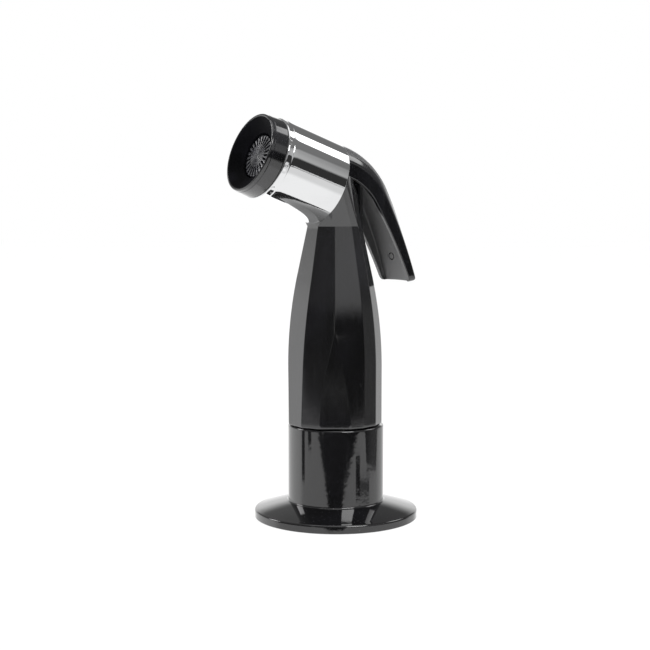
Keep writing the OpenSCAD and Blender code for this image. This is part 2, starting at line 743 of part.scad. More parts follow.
// Helical wire from the chamber's floor up to the washer cup.
module valve_spring() {
    z0 = valve_floor_z + wire_d / 2 + seat_gap / 2;
    rise = washer_cup_z - seat_gap / 2 - wire_d / 2 - z0;
    wire = [for (b = [0:60:300]) [spring_r + wire_d / 2 * cos(b), z0 + wire_d / 2 * sin(b)]];
    color(steel_col) translate([0, valve_y, 0]) coil(wire, spring_turns, rise / spring_turns, 12);
}

hose_guide();
deck_gasket();
friction_washer();
mounting_nut();
snap_ring();
hose_washer();
handle_body();
hose_coupling();
coupling_o_ring();
inlet_screen();
valve_seat();
bonnet_nut();
stem_o_ring();
valve_spring();
chrome_sleeve();
nozzle_ring();
nozzle_gasket();
flow_plate();
spray_disc();
lever_pin();
lever();
valve_stem();
valve_washer();
washer_cup();
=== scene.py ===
"""Looks of a sink hand spray that stands in its deck hose guide."""

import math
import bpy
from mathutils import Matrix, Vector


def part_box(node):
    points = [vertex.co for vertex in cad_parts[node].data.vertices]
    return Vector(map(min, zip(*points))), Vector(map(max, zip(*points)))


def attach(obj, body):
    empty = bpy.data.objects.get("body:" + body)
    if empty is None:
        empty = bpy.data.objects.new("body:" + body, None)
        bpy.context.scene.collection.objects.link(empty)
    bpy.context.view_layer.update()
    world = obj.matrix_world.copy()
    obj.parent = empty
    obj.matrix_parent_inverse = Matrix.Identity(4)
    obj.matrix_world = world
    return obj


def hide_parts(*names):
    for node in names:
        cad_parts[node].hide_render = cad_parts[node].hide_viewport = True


bl_info = {
    "name": "Hand spray looks",
    "version": (1, 0, 0),
    "blender": (4, 5, 0),
    "location": "View3D > Sidebar > Hand spray",
    "description": "Builds the visible pieces, finishes and studio of a sink hand spray",
    "category": "Object",
}

import bmesh
import bpy
from mathutils import Matrix, Vector

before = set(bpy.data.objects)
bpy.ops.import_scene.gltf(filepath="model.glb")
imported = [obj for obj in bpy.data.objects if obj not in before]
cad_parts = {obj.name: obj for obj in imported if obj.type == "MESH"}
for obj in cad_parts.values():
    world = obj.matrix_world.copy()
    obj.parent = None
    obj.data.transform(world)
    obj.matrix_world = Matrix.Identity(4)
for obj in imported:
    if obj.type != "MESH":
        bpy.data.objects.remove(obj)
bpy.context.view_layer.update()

MM = 0.001
HEAD_TILT = math.radians(19.4)
HEAD_CENTRE = Vector((0, 0, 108.6 * MM))
# Local Z of this place is the spray direction and local Y is up across the head.
HEAD = Matrix.Translation(HEAD_CENTRE) @ Matrix.Rotation(math.radians(90) - HEAD_TILT, 4, "X")

guide_low, guide_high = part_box("hose_guide")
nut_low, nut_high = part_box("mounting_nut")


# ---- sizes and colours ----


class SpraySizes(bpy.types.PropertyGroup):
    """Sizes of the visible pieces, in metres."""

    cup_radius: bpy.props.FloatProperty(
        name="Cup radius", description="Outside radius of the guide's cup", default=15.9 * MM, unit="LENGTH")
    cup_wall: bpy.props.FloatProperty(
        name="Cup wall", description="Wall of the guide's cup", default=1.5 * MM, unit="LENGTH")
    flange_height: bpy.props.FloatProperty(
        name="Flange height", description="Height of the flange where it meets the cup",
        default=5.6 * MM, unit="LENGTH")
    flange_edge: bpy.props.FloatProperty(
        name="Flange edge", description="Thickness of the flange at its edge", default=2.4 * MM, unit="LENGTH")
    shank_radius: bpy.props.FloatProperty(
        name="Shank radius", description="Radius over the shank's thread", default=14 * MM, unit="LENGTH")
    hose_bore_radius: bpy.props.FloatProperty(
        name="Hose bore", description="Radius of the bore that the hose runs through",
        default=11.6 * MM, unit="LENGTH")
    thread_pitch: bpy.props.FloatProperty(
        name="Thread pitch", description="Pitch of the shank's thread", default=2.8 * MM, unit="LENGTH")
    thread_height: bpy.props.FloatProperty(
        name="Thread height", description="Height of the shank's thread", default=0.8 * MM, unit="LENGTH")
    grip_radius: bpy.props.FloatProperty(
        name="Grip radius", description="Radius over the grip's corners at its foot",
        default=15.8 * MM, unit="LENGTH")
    grip_foot: bpy.props.FloatProperty(
        name="Grip foot", description="Height of the grip's foot above the deck", default=31.3 * MM, unit="LENGTH")
    grip_top: bpy.props.FloatProperty(
        name="Grip top", description="Height at which the grip meets the saddle", default=96.5 * MM, unit="LENGTH")
    sleeve_radius: bpy.props.FloatProperty(
        name="Sleeve radius", description="Outside radius of the chrome sleeve", default=13.77 * MM, unit="LENGTH")
    sleeve_wall: bpy.props.FloatProperty(
        name="Sleeve wall", description="Wall of the chrome sleeve", default=0.8 * MM, unit="LENGTH")
    sleeve_start: bpy.props.FloatProperty(
        name="Sleeve start", description="Distance from the tail's axis to the sleeve's rear edge",
        default=5.1 * MM, unit="LENGTH")
    sleeve_end: bpy.props.FloatProperty(
        name="Sleeve end", description="Distance from the tail's axis to the sleeve's front edge",
        default=28.8 * MM, unit="LENGTH")
    nozzle_end: bpy.props.FloatProperty(
        name="Nozzle end", description="Distance from the tail's axis to the nozzle's rim",
        default=34.5 * MM, unit="LENGTH")
    disc_radius: bpy.props.FloatProperty(
        name="Disc radius", description="Radius of the spray disc", default=7 * MM, unit="LENGTH")
    disc_depth: bpy.props.FloatProperty(
        name="Disc depth", description="Depth of the disc's face behind the nozzle's rim",
        default=3.4 * MM, unit="LENGTH")


class SprayColours(bpy.types.PropertyGroup):
    """Colours of the finishes."""

    plastic: bpy.props.FloatVectorProperty(
        name="Plastic", description="Gloss black plastic", default=(0.0032, 0.0032, 0.0036),
        size=3, subtype="COLOR")
    worn_plastic: bpy.props.FloatVectorProperty(
        name="Handled plastic", description="Black plastic where it is rubbed", default=(0.012, 0.012, 0.0155),
        size=3, subtype="COLOR")
    dust: bpy.props.FloatVectorProperty(
        name="Dust", description="Dust specks on the plastic", default=(0.07, 0.07, 0.075), size=3, subtype="COLOR")
    mould_skin: bpy.props.FloatVectorProperty(
        name="Mould skin", description="Dull black plastic on inner faces", default=(0.07, 0.07, 0.073),
        size=3, subtype="COLOR")
    chrome: bpy.props.FloatVectorProperty(
        name="Chrome", description="Chrome plating", default=(0.80, 0.805, 0.81), size=3, subtype="COLOR")
    brass: bpy.props.FloatVectorProperty(
        name="Brass", description="Machined brass", default=(0.72, 0.55, 0.26), size=3, subtype="COLOR")
    steel: bpy.props.FloatVectorProperty(
        name="Steel", description="Drawn stainless steel", default=(0.56, 0.57, 0.59), size=3, subtype="COLOR")
    rubber: bpy.props.FloatVectorProperty(
        name="Rubber", description="Black rubber", default=(0.016, 0.016, 0.017), size=3, subtype="COLOR")
    nylon: bpy.props.FloatVectorProperty(
        name="Nylon", description="Natural nylon", default=(0.62, 0.62, 0.57), size=3, subtype="COLOR")
    floor: bpy.props.FloatVectorProperty(
        name="Floor", description="Pale studio floor", default=(0.93, 0.93, 0.93), size=3, subtype="COLOR")


def sizes():
    return bpy.context.scene.spray_sizes


def colours():
    return bpy.context.scene.spray_colours


# ---- finishes ----


class Signal:
    """A number on a shader socket: sums with it add Math nodes."""

    def __init__(self, finish, socket):
        self.finish = finish
        self.socket = socket

    def sum_of(self, operation, first, second=0.0):
        return self.finish.node("ShaderNodeMath", {"operation": operation}, {0: first, 1: second})

    def __add__(self, other):
        return self.sum_of("ADD", self, other)

    def __sub__(self, other):
        return self.sum_of("SUBTRACT", self, other)

    def __rsub__(self, other):
        return self.sum_of("SUBTRACT", other, self)

    def __mul__(self, other):
        return self.sum_of("MULTIPLY", self, other)

    def __truediv__(self, other):
        return self.sum_of("DIVIDE", self, other)

    def __pow__(self, other):
        return self.sum_of("POWER", self, other)

    __radd__ = __add__
    __rmul__ = __mul__


class Finish:
    """The node tree of a material or world, with one way to add a node to it."""

    def __init__(self, owner, coordinates="Object"):
        self.owner = owner
        owner.use_nodes = True
        self.tree = owner.node_tree
        self.tree.nodes.clear()
        self.place = self.node("ShaderNodeTexCoord", output=coordinates)

    def node(self, kind, settings=None, inputs=None, output=0):
        made = self.tree.nodes.new(kind)
        for key, value in (settings or {}).items():
            if key == "stops":
                self.set_stops(made.color_ramp, value)
            else:
                setattr(made, key, value)
        for key, value in (inputs or {}).items():
            if isinstance(value, Signal):
                self.tree.links.new(value.socket, made.inputs[key])
            else:
                made.inputs[key].default_value = value
        return Signal(self, made.outputs[output] if len(made.outputs) else None)

    @staticmethod
    def set_stops(ramp, stops):
        while len(ramp.elements) < len(stops):
            ramp.elements.new(1.0)
        for element, (position, level) in zip(ramp.elements, stops):
            element.position = position
            element.color = (level, level, level, 1)

    def stretched(self, scale):
        """The piece's own place, scaled differently along X, Y and Z."""
        return self.node("ShaderNodeMapping", inputs={"Vector": self.place, "Scale": scale})

    def noise(self, scale, detail=2.0, place=None):
        return self.node("ShaderNodeTexNoise", {"noise_dimensions": "3D"},
                         {"Vector": place or self.place, "Scale": scale, "Detail": detail})

    def ramp(self, signal, *stops):
        return self.node("ShaderNodeValToRGB", {"stops": stops}, {"Fac": signal})

    def rise(self, signal, start, end):
        """Smoothly from 0 at start to 1 at end."""
        return self.node("ShaderNodeMapRange", {"interpolation_type": "SMOOTHSTEP"},
                         {"Value": signal, "From Min": start, "From Max": end})

    def patch(self, signal, low, high, soft):
        """1 between low and high, fading to 0 over soft on both sides."""
        return self.rise(signal, low - soft, low) * (1 - self.rise(signal, high, high + soft))

    def grey(self, level):
        return self.node("ShaderNodeCombineColor", inputs={"Red": level, "Green": level, "Blue": level})

    def along(self, direction):
        """The place measured along a direction."""
        return self.node("ShaderNodeVectorMath", {"operation": "DOT_PRODUCT"}, {0: self.place, 1: direction},
                         output="Value")

    def mix(self, factor, first, second):
        first, second = (c if isinstance(c, Signal) else (*c, 1) for c in (first, second))
        return self.node("ShaderNodeMix", {"data_type": "RGBA"}, {0: factor, 6: first, 7: second}, output=2)

    def bump(self, height, distance, strength=1.0, under=None):
        inputs = {"Height": height, "Distance": distance, "Strength": strength}
        if under is not None:
            inputs["Normal"] = under
        return self.node("ShaderNodeBump", inputs=inputs)

    def surface(self, **inputs):
        named = {key.replace("_", " ").title().replace("Ior", "IOR"): value for key, value in inputs.items()}
        shader = self.node("ShaderNodeBsdfPrincipled", inputs=named)
        self.node("ShaderNodeOutputMaterial", inputs={"Surface": shader})
        return self.owner


def gloss_plastic(name, haze=1.0, rub_scale=60.0, gloss=0.07, satin=None):
    """Moulded black plastic: a deep gloss with faint haze, rubbed patches, hairlines and dust.

    The satin function gives 1 on Object coordinates where the mould left a dull skin."""
    f = Finish(bpy.data.materials.new(name))
    rubbed = f.ramp(f.noise(rub_scale, 4.0, f.stretched((1.6, 1.6, 0.5))), (0.40, 0.0), (0.70, 1.0))
    grain = f.noise(900.0, 3.0)
    hairlines = f.ramp(f.noise(700.0, 2.0, f.stretched((1.0, 1.0, 0.06))), (0.62, 0.0), (0.70, 1.0))
    specks = f.ramp(f.noise(1100.0, 1.0), (0.74, 0.0), (0.78, 1.0)) * f.ramp(f.noise(60.0), (0.5, 0.0), (0.6, 1.0))
    peel = f.noise(240.0, 1.0)
    dull = satin(f) if satin else 0.0
    colour = f.mix(rubbed * 0.8 * haze, colours().plastic, colours().worn_plastic)
    dusty = f.mix(specks * 0.6, colour, colours().dust)
    if satin:
        dusty = f.mix(dull, dusty, f.mix(grain, tuple(c * 0.7 for c in colours().mould_skin), colours().mould_skin))
    roughness = gloss + rubbed * 0.05 * haze + grain * 0.04 * haze + hairlines * 0.10 * haze + dull * 0.32
    fine = f.bump(grain, 0.01 * MM, 0.5)
    shape = f.bump(peel + hairlines * 0.08, 0.05 * MM, 0.2, under=fine)
    return f.surface(base_color=dusty, roughness=roughness, normal=shape, ior=1.9)


def satin_plastic(name, level=1.0, gloss=0.24, ior=1.6):
    """Moulded black plastic with a satin skin."""
    f = Finish(bpy.data.materials.new(name))
    grain = f.noise(1400.0, 3.0)
    patches = f.ramp(f.noise(130.0, 3.0), (0.35, 0.0), (0.75, 1.0))
    dark = tuple(c * level for c in colours().plastic)
    light = tuple(c * level for c in colours().worn_plastic)
    colour = f.mix(patches * 0.8 + grain * 0.2, dark, light)
    return f.surface(base_color=colour, roughness=gloss + patches * 0.08 + grain * 0.06,
                     normal=f.bump(grain, 0.02 * MM, 0.5), ior=ior)


def nozzle_plastic(name):
    """Black plastic that is polished outside and on the lip, and dull inside the funnel."""
    f = Finish(bpy.data.materials.new(name))
    spray = HEAD.to_3x3() @ Vector((0, 0, 1))
    offset = f.node("ShaderNodeVectorMath", {"operation": "SUBTRACT"}, {0: f.place, 1: HEAD_CENTRE})
    across = f.node("ShaderNodeVectorMath", {"operation": "CROSS_PRODUCT"}, {0: offset, 1: spray})
    radius = f.node("ShaderNodeVectorMath", {"operation": "LENGTH"}, {0: across}, output="Value")
    grain = f.noise(1200.0, 3.0)
    rubbed = f.ramp(f.noise(90.0, 4.0), (0.4, 0.0), (0.75, 1.0))
    outside = f.rise(radius, 11.9 * MM, 12.2 * MM)
    colour = f.mix(rubbed * 0.8, colours().plastic, colours().worn_plastic)
    return f.surface(base_color=colour, roughness=0.45 + grain * 0.1, specular_ior_level=0.02,
                     coat_weight=outside, coat_roughness=0.09, coat_ior=1.85,
                     normal=f.bump(grain, 0.01 * MM, 0.5))


def polished_chrome(name):
    """Thin chrome plating over a drawn shell: mirror bright, with faint wipe marks and ripples."""
    f = Finish(bpy.data.materials.new(name))
    wipes = f.ramp(f.noise(160.0, 4.0, f.stretched((1.0, 0.4, 1.0))), (0.48, 0.0), (0.75, 1.0))
    grain = f.noise(2200.0, 2.0)
    ripple = f.noise(85.0, 1.0)
    tone = f.mix(wipes * 0.35 + grain * 0.1, colours().chrome, tuple(c * 0.86 for c in colours().chrome))
    return f.surface(base_color=tone, metallic=1.0, roughness=0.035 + wipes * 0.035 + grain * 0.02,
                     normal=f.bump(ripple, 0.05 * MM, 0.12, under=f.bump(grain, 0.004 * MM, 0.3)))


def turned_metal(name, tint, gloss=0.22, ring_scale=(1.0, 1.0, 1.0)):
    """Machined metal with fine tool rings, stains and dull patches."""
    f = Finish(bpy.data.materials.new(name))
    rings = f.node("ShaderNodeTexWave", {"wave_type": "BANDS", "bands_direction": "Z"},
                   {"Vector": f.stretched(ring_scale), "Scale": 900.0, "Distortion": 1.5, "Detail": 2.0})
    stains = f.ramp(f.noise(180.0, 4.0), (0.4, 0.0), (0.75, 1.0))
    grain = f.noise(1800.0, 2.0)
    colour = f.mix(stains * 0.6, tint, tuple(c * 0.62 for c in tint))
    return f.surface(base_color=colour, metallic=1.0, roughness=gloss + stains * 0.16 + grain * 0.06,
                     normal=f.bump(rings + grain * 0.5, 0.01 * MM, 0.5))


def moulded_rubber(name):
    """Dull black rubber with a dusty bloom."""
    f = Finish(bpy.data.materials.new(name))
    bloom = f.ramp(f.noise(220.0, 4.0), (0.4, 0.0), (0.8, 1.0))
    grain = f.noise(1600.0, 3.0)
    colour = f.mix(bloom * 0.7, colours().rubber, tuple(c * 2.4 for c in colours().rubber))
    return f.surface(base_color=colour, roughness=0.62 + bloom * 0.2, normal=f.bump(grain, 0.03 * MM, 0.6))


def natural_nylon(name):
    """Milky nylon with flow marks."""
    f = Finish(bpy.data.materials.new(name))
    flow = f.ramp(f.noise(150.0, 3.0, f.stretched((1.0, 1.0, 2.5))), (0.3, 0.0), (0.75, 1.0))
    grain = f.noise(1500.0, 2.0)
    colour = f.mix(flow * 0.6, colours().nylon, tuple(c * 0.8 for c in colours().nylon))
    return f.surface(base_color=colour, roughness=0.38 + flow * 0.12, normal=f.bump(grain, 0.02 * MM, 0.5))


# ---- mesh helpers ----


def arc(centre, radius, start, end, steps=8):
    """Points on an arc in a plane, from one angle to another in degrees."""
    turn = [math.radians(start + (end - start) * i / steps) for i in range(steps + 1)]
    return [(centre[0] + radius * math.cos(t), centre[1] + radius * math.sin(t)) for t in turn]


def closed_loop(bm, points):
    """A closed loop of edges through the points, as (vertices, edges)."""
    verts = [bm.verts.new(p) for p in points]
    edges = [bm.edges.new((a, b)) for a, b in zip(verts, verts[1:] + verts[:1])]
    return verts, edges


def revolved(outline, steps=192):
    """A closed outline of (radius, height) turned round the Z axis."""
    bm = bmesh.new()
    verts, edges = closed_loop(bm, [(r, 0, z) for r, z in outline])
    bmesh.ops.spin(bm, geom=verts + edges, cent=(0, 0, 0), axis=(0, 0, 1), dvec=(0, 0, 0),
                   angle=math.tau, steps=steps, use_merge=True, use_duplicate=False)
    bmesh.ops.remove_doubles(bm, verts=bm.verts, dist=1e-7)
    bmesh.ops.recalc_face_normals(bm, faces=bm.faces)
    return bm


def lofted(sections):
    """A closed solid through sections that all have the same number of points."""
    bm = bmesh.new()
    verts, edges = closed_loop(bm, sections[0])
    bmesh.ops.edgeloop_fill(bm, edges=edges)
    for section in sections[1:]:
        made = bmesh.ops.extrude_edge_only(bm, edges=edges)["geom"]
        fresh = {g for g in made if isinstance(g, bmesh.types.BMVert)}
        edges = [g for g in made if isinstance(g, bmesh.types.BMEdge) and set(g.verts) <= fresh]
        verts = [next(e.other_vert(v) for e in v.link_edges if e.other_vert(v) in fresh) for v in verts]
        for v, point in zip(verts, section):
            v.co = point
    bmesh.ops.edgeloop_fill(bm, edges=edges)
    bmesh.ops.remove_doubles(bm, verts=bm.verts, dist=2e-6)
    bmesh.ops.recalc_face_normals(bm, faces=bm.faces)
    return bm


def prism(outline, half_width):
    """A side view of (y, z) points, given a width on both sides of x = 0."""
    return lofted([[(x, y, z) for y, z in outline] for x in (-half_width, half_width)])


def block(low, high, place=None):
    """A box between two corners."""
    bm = bmesh.new()
    bmesh.ops.create_cube(bm, size=1.0)
    low, high = Vector(low), Vector(high)
    bmesh.ops.scale(bm, vec=high - low, verts=bm.verts)
    bmesh.ops.translate(bm, vec=(low + high) / 2, verts=bm.verts)
    return placed(bm, place or Matrix.Identity(4))


def rod(radius, low, high, place=None, steps=96):
    """A round bar along Z."""
    bm = bmesh.new()
    bmesh.ops.create_cone(bm, cap_ends=True, segments=steps, radius1=radius, radius2=radius, depth=high - low)
    bmesh.ops.translate(bm, vec=(0, 0, (low + high) / 2), verts=bm.verts)
    return placed(bm, place or Matrix.Identity(4))


def placed(bm, matrix):
    bmesh.ops.transform(bm, matrix=matrix, verts=bm.verts)
    return bm


def solid(name, bm):
    """A plain object with the mesh, which takes it over."""
    mesh = bpy.data.meshes.new(name)
    bm.to_mesh(mesh)
    bm.free()
    made = bpy.data.objects.new(name, mesh)
    bpy.context.scene.collection.objects.link(made)
    return made


def combine(base, operation, *tools):
    """Joins the tools to the base, or cuts them out of it, and removes them."""
    for tool in tools:
        other = solid("tool", tool)
        modifier = base.modifiers.new("combine", "BOOLEAN")
        modifier.operation = operation
        modifier.solver = "EXACT"
        modifier.object = other
        shape = bpy.data.meshes.new_from_object(base.evaluated_get(bpy.context.evaluated_depsgraph_get()))
        base.modifiers.clear()
        base.data = shape
        bpy.data.objects.remove(other)
    return base


def dress(piece, body, material, replaces=(), sharp=32, even=True):
    """Smooth shading with crisp edges, a finish, and the CAD body that the piece rides on."""
    bm = bmesh.new()
    bm.from_mesh(piece.data)
    bmesh.ops.remove_doubles(bm, verts=bm.verts, dist=1e-6)
    bmesh.ops.dissolve_degenerate(bm, dist=1e-7, edges=bm.edges)
    bm.to_mesh(piece.data)
    bm.free()
    piece.data.shade_smooth()
    piece.data.set_sharp_from_angle(angle=math.radians(sharp))
    if even:
        modifier = piece.modifiers.new("even shading", "WEIGHTED_NORMAL")
        modifier.keep_sharp = True
        modifier.weight = 80
    piece.data.materials.clear()
    piece.data.materials.append(material)
    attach(piece, body)
    if replaces:
        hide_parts(*replaces)
    return piece


# ---- deck hose guide ----


# The flange's rim as it is moulded: an upright edge with small rounds.
RIM_TOP = 2.8 * MM
RIM_ROUND = 0.7 * MM
RIM_FOOT = 0.3 * MM


def flange_dome(share):
    """A point on the flange's top, from the cup (0) out to its edge (1)."""
    s = sizes()
    run = guide_high.x - RIM_ROUND - s.cup_radius
    rise = s.flange_height - RIM_TOP
    return (s.cup_radius + run * share, s.flange_height - rise * (0.8 * share + 0.2 * share * share))


def guide_outline():
    s = sizes()
    core = s.shank_radius - s.thread_height
    lip = s.cup_wall * 0.4
    edge_x = guide_high.x - RIM_ROUND
    groove = (s.shank_radius + 3 * MM, guide_high.x - 2.2 * MM, 1.5 * MM)
    inner = s.cup_radius - s.cup_wall
    floor = s.flange_height + 0.6 * MM
    fillet = 0.6 * MM
    return (
        [(s.hose_bore_radius, guide_low.z), (core - 0.5 * MM, guide_low.z), (core, guide_low.z + 0.5 * MM),
         (core, -1.2 * MM), (s.shank_radius, 0), (groove[0], 0), (groove[0], groove[2]),
         (groove[1], groove[2]), (groove[1], 0)]
        + arc((guide_high.x - RIM_FOOT, RIM_FOOT), RIM_FOOT, -90, 0)
        + arc((edge_x, RIM_TOP - RIM_ROUND), RIM_ROUND, 0, 72)
        + [flange_dome(1 - i / 24) for i in range(1, 23)]
        + arc((s.cup_radius + fillet, s.flange_height + fillet * 0.8), fillet, 258, 180)
        + [(s.cup_radius, guide_high.z * k / 8) for k in range(3, 7)]
        + arc((s.cup_radius - lip, guide_high.z - lip), lip, 0, 90)
        + arc((inner + lip, guide_high.z - lip), lip, 90, 180)
        + [(inner, floor + MM), (inner - MM, floor), (s.hose_bore_radius, floor)]
    )


def shank_thread():
    """A helical ridge with a rounded crest round the shank, below the flange."""
    s = sizes()
    crest = s.shank_radius
    foot = crest - s.thread_height - 0.3 * MM
    pitch = s.thread_pitch
    start, end = guide_low.z + 1.4 * MM, -2.2 * MM
    steps_a_turn = 72
    steps = round(((end - start) / pitch - 0.8) * steps_a_turn)
    bm = bmesh.new()
    profile = [(foot, 0), (crest - 0.12 * MM, 0.27 * pitch), (crest - 0.02 * MM, 0.31 * pitch),
               (crest, 0.4 * pitch), (crest - 0.02 * MM, 0.49 * pitch), (crest - 0.12 * MM, 0.53 * pitch),
               (foot, 0.8 * pitch)]
    verts, edges = closed_loop(bm, [(r, 0, start + z) for r, z in profile])
    bmesh.ops.edgeloop_fill(bm, edges=edges)
    made = bmesh.ops.spin(bm, geom=verts + edges, cent=(0, 0, 0), axis=(0, 0, 1),
                          dvec=(0, 0, pitch / steps_a_turn), angle=math.tau * steps / steps_a_turn,
                          steps=steps, use_merge=False, use_duplicate=False)
    bmesh.ops.edgeloop_fill(bm, edges=[g for g in made["geom_last"] if isinstance(g, bmesh.types.BMEdge)])
    bmesh.ops.recalc_face_normals(bm, faces=bm.faces)
    return bm


class SPRAY_OT_guide(bpy.types.Operator):
    """Builds the deck hose guide: cup, domed flange and threaded shank"""

    bl_idname = "spray.guide"
    bl_label = "Hose guide"

    def execute(self, context):
        finish = gloss_plastic("guide_plastic", haze=0.35, rub_scale=45.0, gloss=0.02)
        guide = solid("guide_casting", revolved(guide_outline(), steps=256))
        dress(guide, "deck_holder", finish, ["hose_guide"])
        thread = solid("guide_thread", shank_thread())
        dress(thread, "deck_holder", finish)
        return {"FINISHED"}


class SPRAY_OT_nut(bpy.types.Operator):
    """Builds the mounting nut with softened corners"""

    bl_idname = "spray.nut"
    bl_label = "Mounting nut"

    def execute(self, context):
        s = sizes()
        flats = nut_high.y
        corner = flats / math.cos(math.radians(30))
        bore = s.shank_radius + 0.1 * MM
        outline = ([(bore, nut_low.z + 0.4 * MM), (bore + 0.4 * MM, nut_low.z), (flats - 0.3 * MM, nut_low.z)]
                   + [(corner, nut_low.z + 1.6 * MM), (corner, nut_high.z), (bore, nut_high.z)])
        nut = solid("nut_body", revolved(outline, steps=180))
        hexagon = bmesh.new()
        bmesh.ops.create_cone(hexagon, cap_ends=True, segments=6, radius1=corner, radius2=corner,
                              depth=(nut_high.z - nut_low.z) * 1.02)
        bmesh.ops.bevel(hexagon, geom=[e for e in hexagon.edges if abs(e.verts[0].co.z - e.verts[1].co.z) > MM],
                        offset=0.6 * MM, segments=3, profile=0.5, affect="EDGES", material=-1)
        bmesh.ops.rotate(hexagon, cent=(0, 0, 0), matrix=Matrix.Rotation(math.radians(30), 3, "Z"),
                         verts=hexagon.verts)
        bmesh.ops.translate(hexagon, vec=(0, 0, (nut_low.z + nut_high.z) / 2), verts=hexagon.verts)
        combine(nut, "INTERSECT", hexagon)
        dress(nut, "deck_holder", satin_plastic("nut_plastic", 1.4), ["mounting_nut"])
        return {"FINISHED"}


# ---- handle ----

GRIP_FORWARD = 0.6 * MM
GRIP_TAPER_Z = 50 * MM
GRIP_SLOPE_Z = 80 * MM
GRIP_CURVE = 140 * MM
VEE_Z = 62.5 * MM
VEE_SPREAD = 18.5
VEE_MIDDLE = 58.0
SIDE_CORNERS = (95.0, 116.0, 140.0, 165.0)
FRONT_HALF = (14.0, 21.5)
FOOT_ROUND = 0.6 * MM
# How sharp the grip's corners are: the higher, the crisper.
CORNER_CRISPNESS = 26 / MM
# Distances from a corner at which a facet gets a vertex.
CORNER_STEPS = (0.0, 0.10 * MM, 0.25 * MM, 0.55 * MM)


def grip_radius(z):
    """Radius over the grip's corners: upright at the foot, then a long curve into a straight taper."""
    base = sizes().grip_radius
    if z < GRIP_TAPER_Z:
        return base
    bent = min(z, GRIP_SLOPE_Z) - GRIP_TAPER_Z
    slope = (GRIP_SLOPE_Z - GRIP_TAPER_Z) / GRIP_CURVE
    return base - bent * bent / (2 * GRIP_CURVE) - slope * max(0.0, z - GRIP_SLOPE_Z)


def grip_corners(z):
    """Angles of the grip's corners from the front, in degrees, all the way round."""
    foot = sizes().grip_foot
    vee = 0.0 if z > VEE_Z else VEE_SPREAD * math.sin(math.radians(90) * (VEE_Z - z) / (VEE_Z - foot))
    share = min(1.0, (z - foot) / (GRIP_SLOPE_Z - foot))
    front = FRONT_HALF[0] + (FRONT_HALF[1] - FRONT_HALF[0]) * share
    right = [front, VEE_MIDDLE - vee, VEE_MIDDLE + vee, *SIDE_CORNERS]
    return right + [360 - a for a in reversed(right)]


def grip_section(z, inset=0.0):
    """One level of the grip: a faceted outline whose corners are slightly rounded."""
    radius = grip_radius(z) - inset
    corners = grip_corners(z)
    facets = list(zip(corners, corners[1:] + [corners[0] + 360]))
    points = []
    for start, end in facets:
        length = max(2 * radius * math.sin(math.radians(end - start) / 2), 1e-9)
        shares = [min(step / length, 0.125 * i) for i, step in enumerate(CORNER_STEPS)]
        shares = shares + [0.5] + [1 - share for share in reversed(shares[1:])]
        for share in shares:
            angle = math.radians(start + (end - start) * share)
            reach = [radius * math.cos(math.radians(b - a) / 2) / math.cos(angle - math.radians(a + b) / 2)
                     for a, b in facets if math.cos(angle - math.radians(a + b) / 2) > 0.2]
            low = min(reach)
            soft = low - math.log(sum(math.exp(-CORNER_CRISPNESS * (r - low)) for r in reach)) / CORNER_CRISPNESS
            points.append((soft * math.sin(angle), -soft * math.cos(angle) - GRIP_FORWARD, z))
    return points


def grip():
    foot, top = sizes().grip_foot, sizes().grip_top
    levels = [(foot + FOOT_ROUND * (1 - math.cos(math.radians(a))), FOOT_ROUND * (1 - math.sin(math.radians(a))))
              for a in (0, 22.5, 45, 67.5, 90)]
    rows = 72
    start = foot + FOOT_ROUND
    levels += [(start + (top - start) * i / rows, 0.0) for i in range(1, rows + 1)]
    return lofted([grip_section(z, inset) for z, inset in levels])


def saddle():
    """Blend between the grip's top and the round collar."""
    s = sizes()
    bm = bmesh.new()
    flange = s.sleeve_radius - 0.45 * MM
    for p in grip_section(s.grip_top - 0.01 * MM):
        bm.verts.new(p)
    for radius, along in ((flange, s.sleeve_start - 0.5 * MM), (flange, s.sleeve_start - 0.01 * MM)):
        ring = bmesh.ops.create_circle(bm, segments=160, radius=radius)["verts"]
        bmesh.ops.transform(bm, matrix=HEAD @ Matrix.Translation((0, 0, along)), verts=ring)
    hull = bmesh.ops.convex_hull(bm, input=bm.verts)
    spare = [g for g in hull["geom_interior"] + hull["geom_unused"] if isinstance(g, bmesh.types.BMVert)]
    bmesh.ops.delete(bm, geom=list(set(spare)), context="VERTS")
    bmesh.ops.recalc_face_normals(bm, faces=bm.faces)
    return bm


def head_point(along, across):
    """(y, z) at a distance along the head's axis and a distance up across it."""
    return (-along * math.cos(HEAD_TILT) + across * math.sin(HEAD_TILT),
            HEAD_CENTRE.z + along * math.sin(HEAD_TILT) + across * math.cos(HEAD_TILT))


PIVOT = (0.3 * MM, 115.2 * MM)
SWING = 14.0
LUG_HALF = 7.7 * MM
LUG_TOP = 8.2 * MM
VALVE_Y = 5.2 * MM
BOSS_RADIUS = 4.5 * MM
BOSS_TOP = 111 * MM


def side_room():
    """Room beside the lug for the lever's side walls."""
    y, z = PIVOT
    outline = [(y - 12 * MM, z - 2.6 * MM), (y - 3.4 * MM, z - 2.6 * MM), (y + 3.6 * MM, z - 8.6 * MM),
               (y + 12 * MM, z - 17 * MM), (y + 12 * MM, z + 12 * MM), (y - 12 * MM, z + 12 * MM)]
    rooms = []
    for side in (-1, 1):
        room = prism(outline, 10 * MM)
        bmesh.ops.translate(room, vec=(side * (LUG_HALF + 10 * MM), 0, 0), verts=room.verts)
        rooms.append(room)
    return rooms


